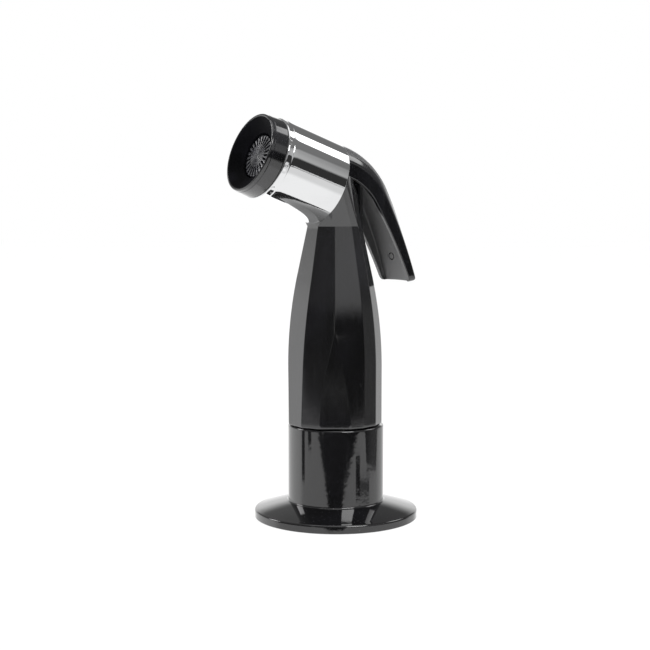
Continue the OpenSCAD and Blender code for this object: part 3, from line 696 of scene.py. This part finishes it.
def crown_room():
    """Room over the lug for the lever's back."""
    start = head_point(sizes().sleeve_start, LUG_TOP)
    along = -PIVOT[0] * math.cos(HEAD_TILT) + (PIVOT[1] - HEAD_CENTRE.z) * math.sin(HEAD_TILT)
    knee = head_point(along, LUG_TOP)
    fall = HEAD_TILT + math.radians(SWING + 1)
    reach = 20 * MM
    far = head_point(sizes().sleeve_start, LUG_TOP + reach)
    return prism([start, knee, (knee[0] + reach, knee[1] - reach * math.tan(fall)),
                  (knee[0] + reach, knee[1] + reach), far], 20 * MM)


class SPRAY_OT_handle(bpy.types.Operator):
    """Builds the faceted grip with its saddle, lug, valve boss, collar and tail"""

    bl_idname = "spray.handle"
    bl_label = "Handle"

    def execute(self, context):
        s = sizes()
        tail_low, tail_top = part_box("handle_body")[0].z, s.grip_foot + 0.2 * MM
        tail_r = s.cup_radius - s.cup_wall - 0.3 * MM
        socket = 9.2 * MM
        flange_r = s.sleeve_radius - 0.45 * MM
        handle = solid("handle_moulding", grip())
        combine(handle, "UNION", saddle())
        combine(handle, "UNION", rod(BOSS_RADIUS, 92.5 * MM, BOSS_TOP,
                                     Matrix.Translation((0, VALVE_Y, 0))))
        combine(handle, "DIFFERENCE", *side_room(), crown_room())
        collar = revolved([(0.001 * MM, s.sleeve_start - 0.5 * MM)]
                          + [(flange_r - 0.15 * MM, s.sleeve_start - 0.5 * MM),
                             (flange_r, s.sleeve_start - 0.35 * MM), (flange_r, s.sleeve_start),
                             (s.sleeve_radius - 0.9 * MM, s.sleeve_start),
                             (s.sleeve_radius - 0.9 * MM, s.sleeve_end - 2.8 * MM),
                             (s.sleeve_radius - 3.6 * MM, s.sleeve_end - 2.8 * MM),
                             (s.sleeve_radius - 3.6 * MM, 15.5 * MM), (0.001 * MM, 15.5 * MM)])
        combine(handle, "UNION", placed(collar, HEAD))
        tail = revolved([(socket, tail_low), (tail_r - MM, tail_low), (tail_r, tail_low + MM),
                         (tail_r, tail_top), (socket, tail_top)], steps=128)
        combine(handle, "UNION", tail)
        combine(handle, "DIFFERENCE", rod(socket, tail_low - MM, 26.5 * MM))
        finish = gloss_plastic("handle_plastic")
        dress(handle, "spray_head", finish, ["handle_body"], sharp=24)
        return {"FINISHED"}


# ---- spray head ----


# Small dents where the sleeve's front edge is crimped on to the nozzle.
CRIMPS = 40
CRIMP_DEPTH = 0.06 * MM


class SPRAY_OT_sleeve(bpy.types.Operator):
    """Builds the chrome sleeve with its rolled front edge"""

    bl_idname = "spray.sleeve"
    bl_label = "Chrome sleeve"

    def execute(self, context):
        s = sizes()
        inner = s.sleeve_radius - s.sleeve_wall
        start, end, outer = s.sleeve_start, s.sleeve_end, s.sleeve_radius
        step = 0.1 * MM
        lip = s.sleeve_wall * 0.9 - step
        outline = ([(inner, start), (outer - 0.2 * MM, start)]
                   + arc((outer - 0.2 * MM, start + 0.2 * MM), 0.2 * MM, -60, 0, 3)
                   + [(outer, start + (end - start) * i / 6) for i in range(1, 6)]
                   + arc((outer - 0.3 * MM, end - 2.4 * MM), 0.3 * MM, 0, 40, 4)
                   + [(outer - step, end - k * MM) for k in (2.05, 1.75, 1.45, 1.15, 0.85)]
                   + arc((outer - step - lip, end - lip), lip, 0, 90, 10) + [(inner, end)])
        shell = revolved(outline, steps=CRIMPS * 8)
        for v in shell.verts:
            radius = math.hypot(v.co.x, v.co.y)
            wave = 0.5 + 0.5 * math.cos(CRIMPS * math.atan2(v.co.y, v.co.x))
            if radius > outer - 0.4 * MM and end - 1.6 * MM < v.co.z < end - 0.5 * MM:
                shrink = 1 - CRIMP_DEPTH * wave / radius
                v.co.x *= shrink
                v.co.y *= shrink
        sleeve = solid("sleeve_shell", placed(shell, HEAD))
        dress(sleeve, "spray_head", polished_chrome("polished_chrome"), ["chrome_sleeve"])
        return {"FINISHED"}


class SPRAY_OT_nozzle(bpy.types.Operator):
    """Builds the nozzle ring and the slotted spray disc"""

    bl_idname = "spray.nozzle"
    bl_label = "Nozzle"

    def execute(self, context):
        s = sizes()
        start, end = s.sleeve_end + 0.1 * MM, s.nozzle_end
        taper = math.tan(math.radians(4.5))
        rim_r = s.sleeve_radius - 0.47 * MM - (end - s.sleeve_end) * taper
        base_r = rim_r + (end - start) * taper
        lip = 0.45 * MM
        face = end - s.disc_depth
        ledge = face - 1.7 * MM
        pocket = s.disc_radius + 0.45 * MM
        neck = s.sleeve_radius - 3.7 * MM
        neck_in = neck - 1.6 * MM
        groove = end - 1.3 * MM
        outline = ([(neck_in, 16.9 * MM), (neck, 16.9 * MM), (neck, start)]
                   + arc((base_r - 0.15 * MM, start + 0.15 * MM), 0.15 * MM, -90, 0, 3)
                   + [(rim_r + (end - groove) * taper + 0.02 * MM, groove - 0.12 * MM),
                      (rim_r + (end - groove) * taper - 0.10 * MM, groove),
                      (rim_r + (end - groove) * taper - 0.02 * MM, groove + 0.12 * MM)]
                   + arc((rim_r - lip, end - lip), lip, 0, 90, 8)
                   + arc((rim_r - lip - 0.1 * MM, end - 0.2 * MM), 0.2 * MM, 90, 150, 3)
                   + [(pocket + 0.45 * MM, face + 0.55 * MM)]
                   + arc((pocket + 0.45 * MM, face + 0.1 * MM), 0.45 * MM, 90, 180, 4)
                   + [(pocket, ledge), (s.disc_radius - MM, ledge), (s.disc_radius - MM, ledge - 2 * MM),
                      (neck_in, ledge - 2 * MM)])
        ring = solid("nozzle_moulding", placed(revolved(outline, steps=256), HEAD))
        dress(ring, "spray_head", nozzle_plastic("nozzle_plastic"), ["nozzle_ring"])

        back = face - 1.6 * MM
        skirt = s.disc_radius - 1.05 * MM
        dish = [(s.disc_radius * k, face + 0.35 * MM * (1 - k * k)) for k in (0.85, 0.7, 0.55, 0.4, 0.28, 0.18, 0.09)]
        disc_outline = ([(0.02 * MM, back - 0.2 * MM), (skirt - 1.2 * MM, back - 0.2 * MM),
                         (skirt - 1.2 * MM, back - 1.5 * MM), (skirt, back - 1.5 * MM), (skirt, back),
                         (s.disc_radius, back)]
                        + arc((s.disc_radius - 0.35 * MM, face - 0.35 * MM), 0.35 * MM, 0, 90, 4)
                        + dish + [(0.02 * MM, face + 0.35 * MM)])
        pleated = revolved(disc_outline, steps=192)
        for v in pleated.verts:
            reach = math.hypot(v.co.x, v.co.y) / s.disc_radius
            if v.co.z > face - 0.02 * MM and 0.1 < reach < 0.9:
                v.co.z -= 0.16 * MM * (0.5 - 0.5 * math.cos(24 * math.atan2(v.co.y, v.co.x))) * min(1.0, 2 * reach)
        disc = solid("disc_moulding", pleated)
        slots = bmesh.new()
        count = 24
        for i in range(count):
            box = bmesh.ops.create_cube(slots, size=1.0)["verts"]
            bmesh.ops.scale(slots, vec=(0.7 * s.disc_radius, 0.7 * MM, 2.5 * MM), verts=box)
            bmesh.ops.translate(slots, vec=(0.9 * s.disc_radius, 0, face + 0.75 * MM), verts=box)
            bmesh.ops.rotate(slots, cent=(0, 0, 0), matrix=Matrix.Rotation(math.tau * i / count, 3, "Z"),
                             verts=box)
        combine(disc, "DIFFERENCE", slots)
        disc.data.transform(HEAD)
        dress(disc, "spray_head", satin_plastic("disc_plastic", 4.0, 0.2, 1.75), ["spray_disc"])
        return {"FINISHED"}


# ---- lever ----

LEVER_HALF = (9.6 * MM, 8.9 * MM)
LEVER_ARCH = (5.7 * MM, 0.8 * MM)
LEVER_SIDE = (4.9 * MM, 2.6 * MM)
LEVER_SIDE_SWELL = 1.8 * MM
ARCH_POWER = 2.17
LEVER_BACK = 1.8 * MM
LEVER_WALL = 1.6 * MM
STRAIGHT = 2.4 * MM
BEND_R = 26.6 * MM
BEND_A = math.radians(44.4)
TAIL_R = 98 * MM
TAIL_L = 31.5 * MM
LEVER_L = STRAIGHT + BEND_R * BEND_A + TAIL_L
LEVER_CORNER = 1.6 * MM
EJECTOR_PLACE = 0.86
EJECTOR_SIDE = -2 * MM
NOSE_GAP = 0.8 * MM
FOOT_END = 0.7 * MM


def lever_heading(l):
    """Angle of the lever's back below the horizontal, l from its nose."""
    if l < STRAIGHT:
        return HEAD_TILT
    if l < STRAIGHT + BEND_R * BEND_A:
        return HEAD_TILT + (l - STRAIGHT) / BEND_R
    return HEAD_TILT + BEND_A + (l - STRAIGHT - BEND_R * BEND_A) / TAIL_R


def lever_point(l):
    """(y, z) on the middle of the lever's back, l from its nose."""
    nose = head_point(sizes().sleeve_start - NOSE_GAP, sizes().sleeve_radius)
    spans = ((STRAIGHT, None), (BEND_R * BEND_A, BEND_R), (TAIL_L + FOOT_END * 2, TAIL_R))
    y, z = nose
    done, heading = 0.0, HEAD_TILT
    for length, radius in spans:
        part = min(l - done, length)
        if part <= 0:
            break
        if radius is None:
            y += part * math.cos(heading)
            z -= part * math.sin(heading)
        else:
            turned = heading + part / radius
            y += radius * (math.sin(turned) - math.sin(heading))
            z += radius * (math.cos(turned) - math.cos(heading))
            heading = turned
        done += part
    return y, z


def between(pair, share):
    return pair[0] + (pair[1] - pair[0]) * share


def rounded(points, radii, steps=4):
    """A closed outline whose corners with a radius are rounded."""
    made = []
    for i, corner in enumerate(points):
        if not radii[i]:
            made.append(corner)
            continue
        here = Vector(corner)
        before, after = Vector(points[i - 1]) - here, Vector(points[(i + 1) % len(points)]) - here
        start = here + before.normalized() * min(radii[i], before.length * 0.45)
        end = here + after.normalized() * min(radii[i], after.length * 0.45)
        for k in range(steps + 1):
            t = k / steps
            made.append(tuple(start * (1 - t) ** 2 + here * 2 * t * (1 - t) + end * t * t))
    return made


def lever_section(share, inset=0.0):
    """Outline across the lever, as (x, depth below the back)."""
    half, arch = between(LEVER_HALF, share), LEVER_ARCH[0] + (LEVER_ARCH[1] - LEVER_ARCH[0]) * share ** ARCH_POWER
    side = between(LEVER_SIDE, share) + LEVER_SIDE_SWELL * share * (1 - share)
    bow = (half * half + arch * arch) / (2 * arch)
    outer, inner = half - inset, half - LEVER_WALL + inset / 2
    steps = 20

    def fall(x):
        return bow - math.sqrt(bow * bow - x * x)

    top = [(outer * (2 * i / steps - 1), fall(outer * (2 * i / steps - 1)) + inset) for i in range(steps + 1)]
    under = [(inner * (1 - 2 * i / steps), fall(inner * (1 - 2 * i / steps)) + LEVER_BACK - inset / 2)
             for i in range(steps + 1)]
    low = arch + side - inset
    points = top + [(outer, low), (inner, low)] + under + [(-inner, low), (-outer, low)]
    crown, edge, throat = 0.7 * MM, 0.25 * MM, 0.6 * MM
    radii = ([crown] + [0] * (steps - 1) + [crown, edge, edge, throat] + [0] * (steps - 1)
             + [throat, edge, edge])
    return rounded(points, radii)


def lever_ring(l, inset=0.0):
    y, z = lever_point(l)
    heading = lever_heading(l)
    outline = lever_section(min(1.0, l / LEVER_L), inset)
    past = min(LEVER_CORNER, max(0.0, l - LEVER_L - FOOT_END + LEVER_CORNER))
    narrowed = 1 - (LEVER_CORNER - math.sqrt(LEVER_CORNER ** 2 - (0.95 * past) ** 2)) / LEVER_HALF[1]
    return [(x * narrowed, y - d * math.sin(heading), z - d * math.cos(heading)) for x, d in outline]


def nose_room():
    """Room in front of the lever's nose, at rest and at the end of the squeeze."""
    front = sizes().sleeve_start - NOSE_GAP
    still = block((-20 * MM, -20 * MM, front), (20 * MM, 40 * MM, front + 20 * MM), HEAD)
    pivot = Vector((0, *PIVOT))
    level = (pivot - HEAD_CENTRE) @ Vector((0, math.sin(HEAD_TILT), math.cos(HEAD_TILT)))
    turned = block((-20 * MM, level - 40 * MM, front), (20 * MM, level, front + 20 * MM), HEAD)
    bmesh.ops.rotate(turned, cent=pivot, matrix=Matrix.Rotation(math.radians(SWING), 3, "X"), verts=turned.verts)
    return still, turned


def lever_inside(finish):
    """1 on the lever's inner faces: between its side walls and under its back."""
    x, y, z = (finish.along(axis) for axis in ((1, 0, 0), (0, 1, 0), (0, 0, 1)))
    back = [lever_point(LEVER_L * share) for share in (0.35, 0.65, 0.95)]
    (y0, z0), (y1, z1), (y2, z2) = back
    first = (y1 - y0) / (z1 - z0)
    second = ((y2 - y1) / (z2 - z1) - first) / (z2 - z0)
    depth = y0 + (z - z0) * first + (z - z0) * (z - z1) * second - y
    side = finish.node("ShaderNodeMath", {"operation": "ABSOLUTE"}, {0: x})
    return finish.rise(depth, 1.3 * MM, 1.8 * MM) * (1 - finish.rise(side, 7.6 * MM, 8.1 * MM))


def ejector_mark():
    """A shallow round mark on the inner face of the back."""
    l = LEVER_L * EJECTOR_PLACE
    y, z = lever_point(l)
    heading = lever_heading(l)
    inward = Vector((0, -math.sin(heading), -math.cos(heading)))
    turn = inward.to_track_quat("Z", "Y").to_matrix().to_4x4()
    centre = Vector((EJECTOR_SIDE, y, z)) + inward * (LEVER_BACK + 0.35 * MM)
    ring = revolved([(0.95 * MM, -0.6 * MM), (1.35 * MM, -0.6 * MM), (1.35 * MM, 0.6 * MM), (0.95 * MM, 0.6 * MM)],
                    steps=48)
    return placed(ring, Matrix.Translation(centre) @ turn)


class SPRAY_OT_lever(bpy.types.Operator):
    """Builds the arched squeeze lever, open towards the handle"""

    bl_idname = "spray.lever"
    bl_label = "Squeeze lever"

    def execute(self, context):
        rows = 64
        stations = [(LEVER_L * i / rows, 0.0) for i in range(rows + 1)]
        stations += [(LEVER_L + FOOT_END * math.sin(math.radians(a)),
                      FOOT_END * 0.7 * (1 - math.cos(math.radians(a)))) for a in (30, 60, 90)]
        lever = solid("lever_moulding", lofted([lever_ring(l, inset) for l, inset in stations]))
        combine(lever, "DIFFERENCE", *nose_room(), ejector_mark())
        nub_r = 1.8 * MM
        nub_low = 114.75 * MM
        nub = revolved(arc((0, 0), nub_r, -89.9, 0) + [(nub_r, 4 * MM), (0.001 * MM, 4 * MM)], steps=64)
        bmesh.ops.rotate(nub, cent=(0, 0, 0), matrix=Matrix.Rotation(math.radians(-24), 3, "X"), verts=nub.verts)
        bmesh.ops.translate(nub, vec=(0, VALVE_Y, nub_low + nub_r), verts=nub.verts)
        combine(lever, "UNION", nub)
        finish = gloss_plastic("lever_plastic", haze=0.9, rub_scale=85.0, gloss=0.08, satin=lever_inside)
        dress(lever, "squeeze_lever", finish, ["lever"], sharp=28)
        return {"FINISHED"}


# ---- inner pieces ----

CAD_FINISHES = {
    "coupling_brass": ("hose_coupling", "valve_seat", "bonnet_nut", "valve_stem", "washer_cup"),
    "spring_steel": ("snap_ring", "inlet_screen", "valve_spring", "lever_pin"),
    "black_rubber": ("deck_gasket", "hose_washer", "coupling_o_ring", "stem_o_ring", "nozzle_gasket",
                     "valve_washer"),
    "washer_nylon": ("friction_washer", "flow_plate"),
}


class SPRAY_OT_inner(bpy.types.Operator):
    """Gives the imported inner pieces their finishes"""

    bl_idname = "spray.inner"
    bl_label = "Inner pieces"

    def execute(self, context):
        made = {
            "coupling_brass": turned_metal("coupling_brass", colours().brass, 0.24),
            "spring_steel": turned_metal("spring_steel", colours().steel, 0.28),
            "black_rubber": moulded_rubber("black_rubber"),
            "washer_nylon": natural_nylon("washer_nylon"),
        }
        for slot, names in CAD_FINISHES.items():
            for name in names:
                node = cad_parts[name]
                node.data.materials.clear()
                node.data.materials.append(made[slot])
        return {"FINISHED"}


# ---- studio ----

CAMERA_TURN = math.radians(57.48)
CAMERA_RISE = math.radians(5.26)
CAMERA_DISTANCE = 449.55 * MM
CAMERA_HEIGHT = 63.84 * MM
CAMERA_SIDE = -3.61 * MM
CAMERA_LENS = 75.28
SENSOR = 36.0


def camera_axes():
    """Right, up and back of the camera, as unit vectors."""
    back = Vector((math.sin(CAMERA_TURN) * math.cos(CAMERA_RISE),
                   -math.cos(CAMERA_TURN) * math.cos(CAMERA_RISE), math.sin(CAMERA_RISE)))
    right = Vector((math.cos(CAMERA_TURN), math.sin(CAMERA_TURN), 0))
    return right, back.cross(right), back


# Radiance of the studio's parts in reflections.
SWEEP_LEVEL = 1.2
TABLE_LEVEL = 0.8
CEILING_LEVEL = 0.2
# The room on the camera's side just above the table, by its share of a full turn from behind.
ROOM_LEVELS = ((0.27, 0.16), (0.33, 0.11), (0.40, 0.055), (0.50, 0.045), (0.655, 0.035), (0.69, 0.035), (0.77, 0.2))
WINDOW_LEVELS = ((0.30, 0.12), (0.40, 0.13), (0.50, 0.2), (0.57, 0.60), (0.64, 0.60), (0.70, 0.45), (0.76, 0.15))
# Softboxes: turn from the camera's side and height, both in degrees, and level.
SOFTBOXES = (((104, 130), (34, 48), 2.5), ((-118, -99), (28, 36), 6.0), ((18, 48), (36, 45), 10.0))
# Height in degrees at which the table ends in front of the object.
TABLE_EDGE = -9.1
# How far the table's edge drops in front, as parts of 4.7 degrees, by share of a full turn.
TABLE_NOTCH = ((0.37, 0.0), (0.392, 0.25), (0.44, 0.7), (0.465, 1.0), (0.525, 1.0), (0.55, 0.7), (0.66, 0.08))
OVERHEAD_LEVEL = 1.2
# Dark stands in the room: turn and height in degrees, and how much light each takes away.
STANDS = (((-88, -82), (-11.6, -8.5), 0.9), ((-69, -63), (-10.2, -8.5), 0.9), ((50, 58), (-12.3, -10.9), 0.92),
          ((58, 86), (-12.3, -11.8), 0.75))


def floor_finish():
    """A white table to the camera, with a soft shadow."""
    f = Finish(bpy.data.materials.new("studio_floor"))
    mottle = f.noise(14.0, 3.0)
    tone = f.mix(mottle * 0.3, colours().floor, tuple(c * 0.985 for c in colours().floor))
    diffuse = f.node("ShaderNodeBsdfDiffuse", inputs={"Color": tone})
    seen = f.node("ShaderNodeLightPath", output="Is Camera Ray")
    glow = f.node("ShaderNodeEmission", inputs={"Color": (1.05, 1.05, 1.05, 1), "Strength": 1.0})
    white = f.node("ShaderNodeMixShader", inputs={0: seen * 0.88, 1: diffuse, 2: glow})
    f.node("ShaderNodeOutputMaterial", inputs={"Surface": white})
    return f.owner


def studio_world():
    """White to the camera. Reflections see a white sweep behind the object, a white table that ends
    in front of it, a dark room with high windows on the camera's side, and three softboxes."""
    world = bpy.data.worlds.new("studio")
    bpy.context.scene.world = world
    f = Finish(world, "Generated")
    right, _, back = camera_axes()
    level = Vector((back.x, back.y, 0)).normalized()
    degrees = 180 / math.pi
    turn = f.node("ShaderNodeMath", {"operation": "ARCTAN2"}, {0: f.along(right), 1: f.along(level)}) * degrees
    height = f.node("ShaderNodeMath", {"operation": "ARCSINE"}, {0: f.along((0, 0, 1))}) * degrees
    share = turn / 360 + 0.5
    behind = f.rise(turn, 112, 130) + 1 - f.rise(turn, -100, -82)

    high = f.rise(height, 8, 20)
    far = f.rise(turn, 148, 160) + 1 - f.rise(turn, -160, -148)
    fade = 1 - f.rise(height - 6 * far, 5, 20)
    sweep = SWEEP_LEVEL * (1 + 0.2 * far) * (1 - 0.2 * f.patch(turn, 112, 140, 12)) * fade + high * (0.18 + 0.12 * (1 - f.rise(turn, -10, 10)))
    edge = TABLE_EDGE - 4.7 * f.ramp(share, *TABLE_NOTCH) - 1.8 * f.patch(turn, 80, 112, 8)
    table = (1 - f.rise(height - edge, -0.25, 0.25)) * (TABLE_LEVEL + 0.25 * (1 - f.rise(height, -33, -24)))
    above = f.rise(height - edge, -0.25, 0.25) * (1 - f.rise(height, 5, 12)) * f.ramp(share, *ROOM_LEVELS)
    windows = f.patch(height, 12, 24, 5) * f.ramp(share, *WINDOW_LEVELS)
    doorway = 0.6 * f.patch(turn, -33, -30, 1.5) * f.patch(height, -9, 8, 1)
    front = table + above + windows + doorway + f.rise(height, 22, 30) * CEILING_LEVEL
    light = behind * sweep + (1 - behind) * front + OVERHEAD_LEVEL * f.rise(height, 66, 74)
    for (start, end), (low, top), strength in SOFTBOXES:
        light = light + strength * f.patch(turn, start, end, 3) * f.patch(height, low, top, 2.5)
    for (start, end), (low, top), depth in STANDS:
        light = light * (1 - depth * f.patch(turn, start, end, 3) * f.patch(height, low, top, 0.25))
    seen = f.node("ShaderNodeLightPath", output="Is Camera Ray")
    backdrop = f.node("ShaderNodeBackground", inputs={"Color": f.grey(seen + (1 - seen) * light), "Strength": 1.0})
    f.node("ShaderNodeOutputWorld", inputs={"Surface": backdrop})


def soft_light(name, place, target, size, watts):
    lamp = bpy.data.lights.new(name, "AREA")
    lamp.shape = "RECTANGLE"
    lamp.size, lamp.size_y = size
    lamp.energy = watts
    made = bpy.data.objects.new(name, lamp)
    made.location = place
    made.rotation_euler = (Vector(target) - Vector(place)).to_track_quat("-Z", "Y").to_euler()
    made.visible_glossy = False
    bpy.context.scene.collection.objects.link(made)
    return made


class SPRAY_OT_stage(bpy.types.Operator):
    """Sets up the pale floor, the soft lights and the camera"""

    bl_idname = "spray.stage"
    bl_label = "Studio"

    def execute(self, context):
        scene = context.scene
        bm = bmesh.new()
        bmesh.ops.create_circle(bm, cap_ends=True, segments=96, radius=3.0)
        bmesh.ops.translate(bm, vec=(0, 0, -0.05 * MM), verts=bm.verts)
        floor = solid("studio_floor", bm)
        floor.data.materials.append(floor_finish())
        floor.visible_glossy = False

        studio_world()
        centre = (0, 0, 0.07)
        soft_light("top_light", (0.05, 0.10, 0.75), centre, (0.55, 0.55), 4.0)
        soft_light("side_light", (-0.60, -0.42, 0.35), centre, (0.45, 0.45), 1.5)

        right, up, back = camera_axes()
        lens = bpy.data.cameras.new("camera")
        lens.lens = CAMERA_LENS
        lens.sensor_width = SENSOR
        lens.sensor_fit = "HORIZONTAL"
        lens.clip_start = 0.01
        camera = bpy.data.objects.new("camera", lens)
        turn = Matrix((right, up, back)).transposed().to_4x4()
        spot = Vector((0, 0, CAMERA_HEIGHT)) + right * CAMERA_SIDE + back * CAMERA_DISTANCE
        camera.matrix_world = Matrix.Translation(spot) @ turn
        scene.collection.objects.link(camera)
        scene.camera = camera
        scene.view_settings.view_transform = "Standard"
        return {"FINISHED"}


OPERATORS = (SPRAY_OT_stage, SPRAY_OT_guide, SPRAY_OT_nut, SPRAY_OT_handle, SPRAY_OT_sleeve, SPRAY_OT_nozzle,
             SPRAY_OT_lever, SPRAY_OT_inner)


class SPRAY_PT_panel(bpy.types.Panel):
    """Lists the pieces and the studio"""

    bl_label = "Hand spray"
    bl_idname = "SPRAY_PT_panel"
    bl_space_type = "VIEW_3D"
    bl_region_type = "UI"
    bl_category = "Hand spray"

    def draw(self, context):
        for kind in OPERATORS:
            self.layout.operator(kind.bl_idname)
        for group in (context.scene.spray_sizes, context.scene.spray_colours):
            for key in group.bl_rna.properties.keys():
                if key not in ("rna_type", "name"):
                    self.layout.prop(group, key)


CLASSES = (SpraySizes, SprayColours, *OPERATORS, SPRAY_PT_panel)


def register():
    for kind in CLASSES:
        bpy.utils.register_class(kind)
    bpy.types.Scene.spray_sizes = bpy.props.PointerProperty(type=SpraySizes)
    bpy.types.Scene.spray_colours = bpy.props.PointerProperty(type=SprayColours)


def unregister():
    del bpy.types.Scene.spray_sizes
    del bpy.types.Scene.spray_colours
    for kind in reversed(CLASSES):
        bpy.utils.unregister_class(kind)


def main():
    register()
    for kind in OPERATORS:
        group, verb = kind.bl_idname.split(".")
        getattr(getattr(bpy.ops, group), verb)()


if __name__ == "__main__":
    main()
